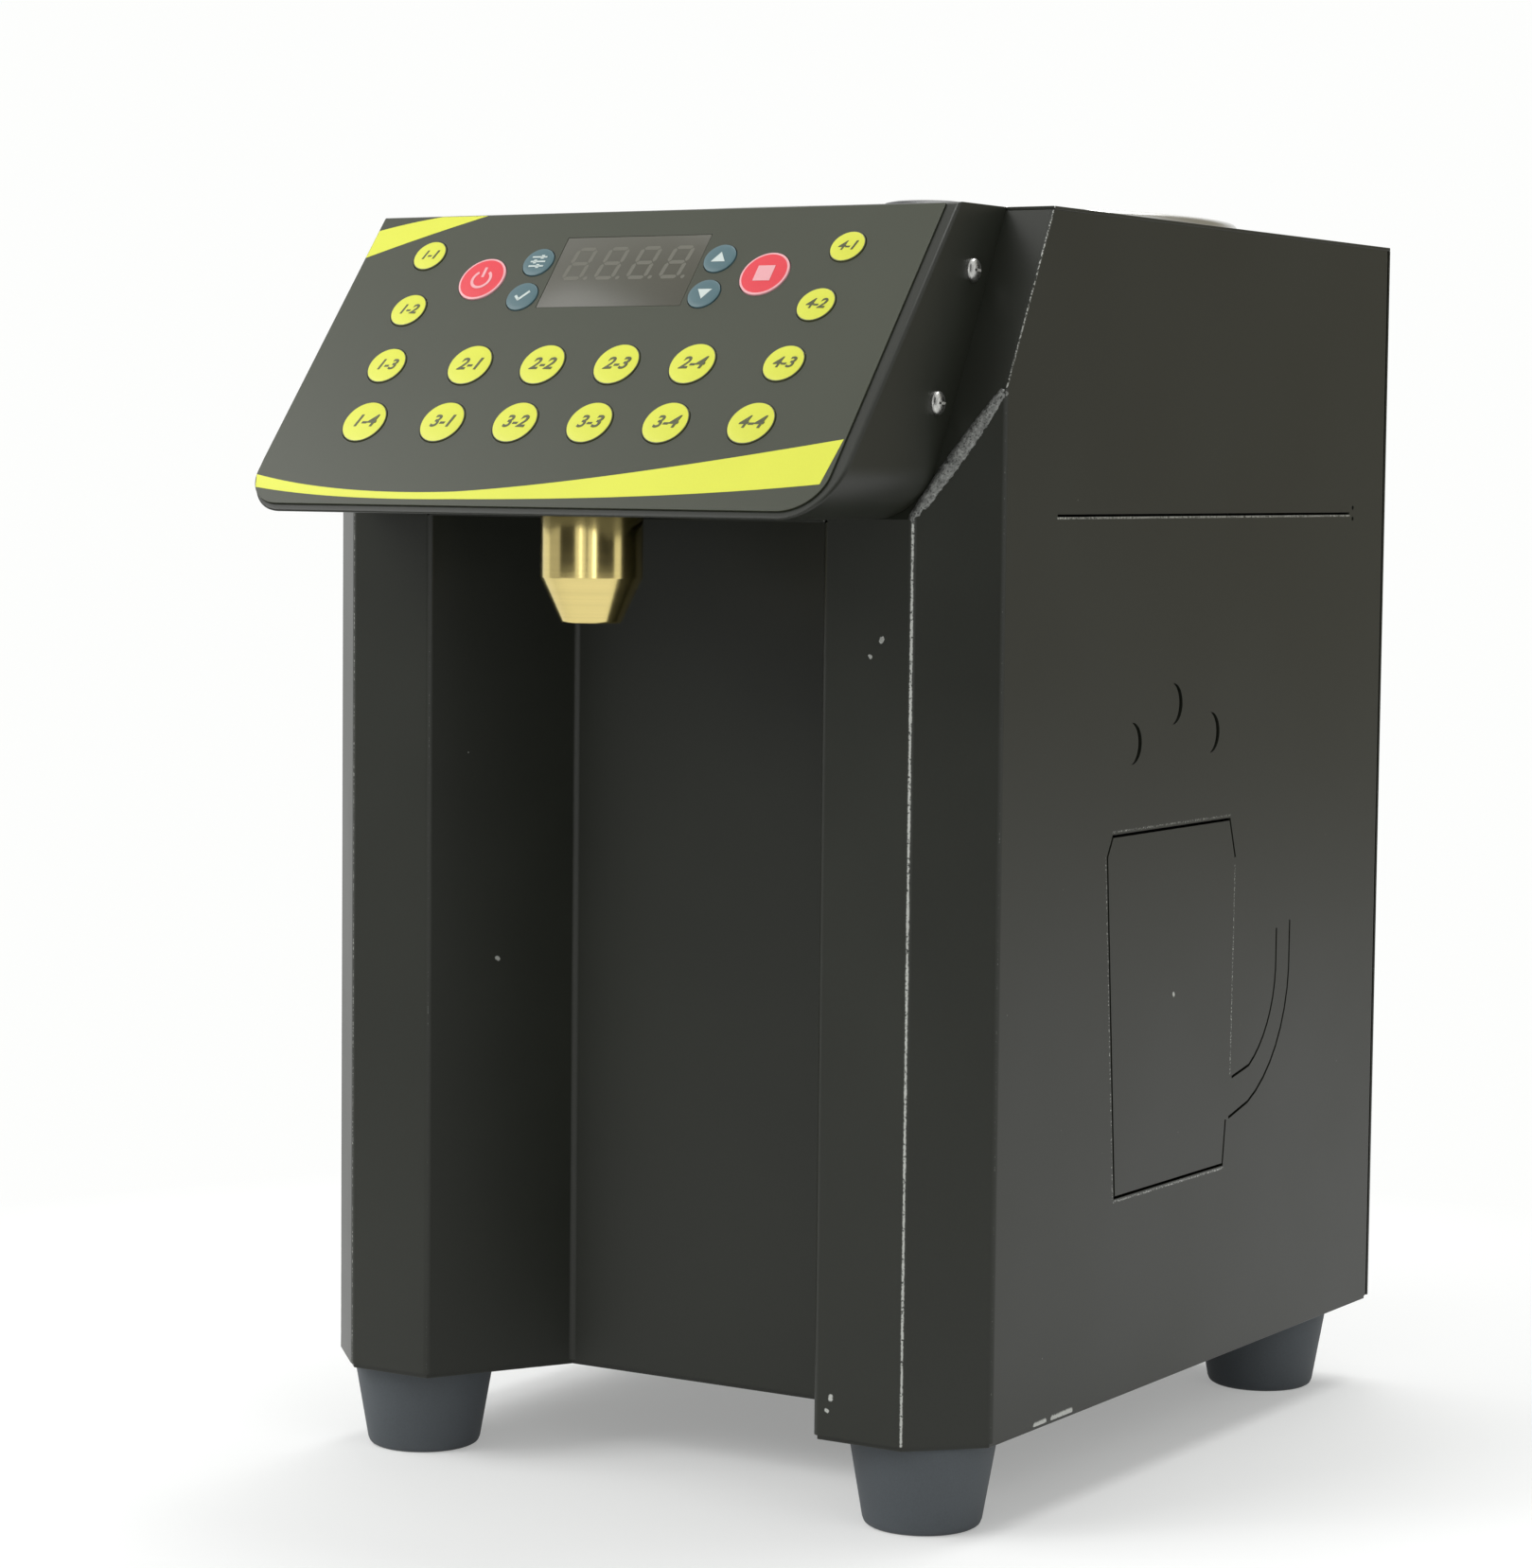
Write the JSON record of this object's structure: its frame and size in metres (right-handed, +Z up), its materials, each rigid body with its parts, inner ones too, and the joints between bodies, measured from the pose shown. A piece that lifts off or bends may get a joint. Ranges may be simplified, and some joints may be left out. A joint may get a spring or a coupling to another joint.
{
  "type": "syrup dispenser",
  "caption": "Counter-top syrup dispenser: sloped keypad head over a cup bay, brass nozzle, round lift-off lid on a heated tank, gear pump inside, rubber feet.",
  "frame": {"origin": "on the counter, under the middle of the whole dispenser's box", "axes": "+Z up, -Y towards the keypad and cup bay, +X to the right seen from the front"},
  "size_m": [0.26, 0.3752, 0.436],
  "materials": {
    "painted_steel": "satin black powder coat, fine texture",
    "bright_screws": "bright zinc plated",
    "foot_rubber": "dull dark rubber",
    "zinc_steel": "galvanised",
    "overlay_film": "dark olive-grey printed film",
    "smoked_window": "smoked window",
    "circuit_board": "solder-masked board",
    "yellow_keys": "yellow-green printed keys",
    "red_keys": "red printed keys",
    "teal_keys": "grey-teal printed keys",
    "stainless": "brushed stainless",
    "heater_foil": "foil heater",
    "jacket_foam": "closed-cell foam",
    "pump_alloy": "machined",
    "gear_steel": "ground steel",
    "motor_steel": "motor can",
    "silicone": "translucent silicone",
    "brass": "polished brass",
    "white_plastic": "moulded white plastic",
    "black_plastic": "moulded black plastic",
    "red_plastic": "moulded red plastic"
  },
  "bodies": {
    "cabinet": {"casing": "painted_steel", "upper_front": "painted_steel", "top_panel": "painted_steel", "base_plate": "painted_steel", "rear_cover": "painted_steel", "head_cover": "painted_steel", "case_screws": "bright_screws", "foot_bolts": "bright_screws", "pump_screws": "bright_screws", "board_spacers": "bright_screws", "hose_clamps": "bright_screws", "temperature_probe": "bright_screws", "feet": "foot_rubber", "head_brackets": "zinc_steel", "pump_bracket": "zinc_steel", "power_supply": "zinc_steel", "control_overlay": "overlay_film", "display_window": "smoked_window", "control_board": "circuit_board", "syrup_tank": "stainless", "feed_pipe": "stainless", "heater_band": "heater_foil", "insulation_jacket": "jacket_foam", "pump_housing": "pump_alloy", "pump_cover": "pump_alloy", "pump_motor": "motor_steel", "syrup_hose": "silicone", "nozzle": "brass", "nozzle_nut": "brass", "nozzle_elbow": "white_plastic", "switch_frame": "black_plastic", "power_inlet": "black_plastic"},
    "lid": {"lid": "stainless", "lid_knob": "black_plastic", "lid_seal": "silicone"},
    "rocker": {"switch_rocker": "red_plastic"},
    "drive_shaft": {"drive_gear": "gear_steel"},
    "driven_shaft": {"driven_gear": "gear_steel"},
    "key_1_1": {"key_1_1": "yellow_keys"},
    "key_1_2": {"key_1_2": "yellow_keys"},
    "key_1_3": {"key_1_3": "yellow_keys"},
    "key_1_4": {"key_1_4": "yellow_keys"},
    "key_4_1": {"key_4_1": "yellow_keys"},
    "key_4_2": {"key_4_2": "yellow_keys"},
    "key_4_3": {"key_4_3": "yellow_keys"},
    "key_4_4": {"key_4_4": "yellow_keys"},
    "key_2_1": {"key_2_1": "yellow_keys"},
    "key_2_2": {"key_2_2": "yellow_keys"},
    "key_2_3": {"key_2_3": "yellow_keys"},
    "key_2_4": {"key_2_4": "yellow_keys"},
    "key_3_1": {"key_3_1": "yellow_keys"},
    "key_3_2": {"key_3_2": "yellow_keys"},
    "key_3_3": {"key_3_3": "yellow_keys"},
    "key_3_4": {"key_3_4": "yellow_keys"},
    "key_power": {"key_power": "red_keys"},
    "key_stop": {"key_stop": "red_keys"},
    "key_set": {"key_set": "teal_keys"},
    "key_save": {"key_save": "teal_keys"},
    "key_up": {"key_up": "teal_keys"},
    "key_down": {"key_down": "teal_keys"}
  },
  "joints": [
    {"name": "lid_lift", "type": "slide", "parent": "cabinet", "child": "lid", "axis": [0, 0, 1], "range_m": [0, 0.1]},
    {"name": "rocker_tip", "type": "hinge", "parent": "cabinet", "child": "rocker", "pos_m": [-0.038, 0.18312, 0.082], "axis": [1, 0, 0], "range_deg": [-16, 0]},
    {"name": "drive_spin", "type": "hinge", "parent": "cabinet", "child": "drive_shaft", "pos_m": [0, 0.02062, 0.082], "axis": [1, 0, 0], "continuous": true},
    {"name": "driven_spin", "type": "hinge", "parent": "cabinet", "child": "driven_shaft", "pos_m": [0, 0.02062, 0.102], "axis": [1, 0, 0], "continuous": true},
    {"name": "press_1_1", "type": "slide", "parent": "cabinet", "child": "key_1_1", "axis": [0, 0.7815, -0.6239], "range_m": [0, 0.0005], "stiffness_N_per_m": 300, "springref_m": -0.002},
    {"name": "press_1_2", "type": "slide", "parent": "cabinet", "child": "key_1_2", "axis": [0, 0.7815, -0.6239], "range_m": [0, 0.0005], "stiffness_N_per_m": 300, "springref_m": -0.002},
    {"name": "press_1_3", "type": "slide", "parent": "cabinet", "child": "key_1_3", "axis": [0, 0.7815, -0.6239], "range_m": [0, 0.0005], "stiffness_N_per_m": 300, "springref_m": -0.002},
    {"name": "press_1_4", "type": "slide", "parent": "cabinet", "child": "key_1_4", "axis": [0, 0.7815, -0.6239], "range_m": [0, 0.0005], "stiffness_N_per_m": 300, "springref_m": -0.002},
    {"name": "press_4_1", "type": "slide", "parent": "cabinet", "child": "key_4_1", "axis": [0, 0.7815, -0.6239], "range_m": [0, 0.0005], "stiffness_N_per_m": 300, "springref_m": -0.002},
    {"name": "press_4_2", "type": "slide", "parent": "cabinet", "child": "key_4_2", "axis": [0, 0.7815, -0.6239], "range_m": [0, 0.0005], "stiffness_N_per_m": 300, "springref_m": -0.002},
    {"name": "press_4_3", "type": "slide", "parent": "cabinet", "child": "key_4_3", "axis": [0, 0.7815, -0.6239], "range_m": [0, 0.0005], "stiffness_N_per_m": 300, "springref_m": -0.002},
    {"name": "press_4_4", "type": "slide", "parent": "cabinet", "child": "key_4_4", "axis": [0, 0.7815, -0.6239], "range_m": [0, 0.0005], "stiffness_N_per_m": 300, "springref_m": -0.002},
    {"name": "press_2_1", "type": "slide", "parent": "cabinet", "child": "key_2_1", "axis": [0, 0.7815, -0.6239], "range_m": [0, 0.0005], "stiffness_N_per_m": 300, "springref_m": -0.002},
    {"name": "press_2_2", "type": "slide", "parent": "cabinet", "child": "key_2_2", "axis": [0, 0.7815, -0.6239], "range_m": [0, 0.0005], "stiffness_N_per_m": 300, "springref_m": -0.002},
    {"name": "press_2_3", "type": "slide", "parent": "cabinet", "child": "key_2_3", "axis": [0, 0.7815, -0.6239], "range_m": [0, 0.0005], "stiffness_N_per_m": 300, "springref_m": -0.002},
    {"name": "press_2_4", "type": "slide", "parent": "cabinet", "child": "key_2_4", "axis": [0, 0.7815, -0.6239], "range_m": [0, 0.0005], "stiffness_N_per_m": 300, "springref_m": -0.002},
    {"name": "press_3_1", "type": "slide", "parent": "cabinet", "child": "key_3_1", "axis": [0, 0.7815, -0.6239], "range_m": [0, 0.0005], "stiffness_N_per_m": 300, "springref_m": -0.002},
    {"name": "press_3_2", "type": "slide", "parent": "cabinet", "child": "key_3_2", "axis": [0, 0.7815, -0.6239], "range_m": [0, 0.0005], "stiffness_N_per_m": 300, "springref_m": -0.002},
    {"name": "press_3_3", "type": "slide", "parent": "cabinet", "child": "key_3_3", "axis": [0, 0.7815, -0.6239], "range_m": [0, 0.0005], "stiffness_N_per_m": 300, "springref_m": -0.002},
    {"name": "press_3_4", "type": "slide", "parent": "cabinet", "child": "key_3_4", "axis": [0, 0.7815, -0.6239], "range_m": [0, 0.0005], "stiffness_N_per_m": 300, "springref_m": -0.002},
    {"name": "press_power", "type": "slide", "parent": "cabinet", "child": "key_power", "axis": [0, 0.7815, -0.6239], "range_m": [0, 0.0005], "stiffness_N_per_m": 300, "springref_m": -0.002},
    {"name": "press_stop", "type": "slide", "parent": "cabinet", "child": "key_stop", "axis": [0, 0.7815, -0.6239], "range_m": [0, 0.0005], "stiffness_N_per_m": 300, "springref_m": -0.002},
    {"name": "press_set", "type": "slide", "parent": "cabinet", "child": "key_set", "axis": [0, 0.7815, -0.6239], "range_m": [0, 0.0005], "stiffness_N_per_m": 300, "springref_m": -0.002},
    {"name": "press_save", "type": "slide", "parent": "cabinet", "child": "key_save", "axis": [0, 0.7815, -0.6239], "range_m": [0, 0.0005], "stiffness_N_per_m": 300, "springref_m": -0.002},
    {"name": "press_up", "type": "slide", "parent": "cabinet", "child": "key_up", "axis": [0, 0.7815, -0.6239], "range_m": [0, 0.0005], "stiffness_N_per_m": 300, "springref_m": -0.002},
    {"name": "press_down", "type": "slide", "parent": "cabinet", "child": "key_down", "axis": [0, 0.7815, -0.6239], "range_m": [0, 0.0005], "stiffness_N_per_m": 300, "springref_m": -0.002}
  ],
  "couplings": [
    {"joint": "driven_spin", "follows": "drive_spin", "ratio": -1}
  ]
}
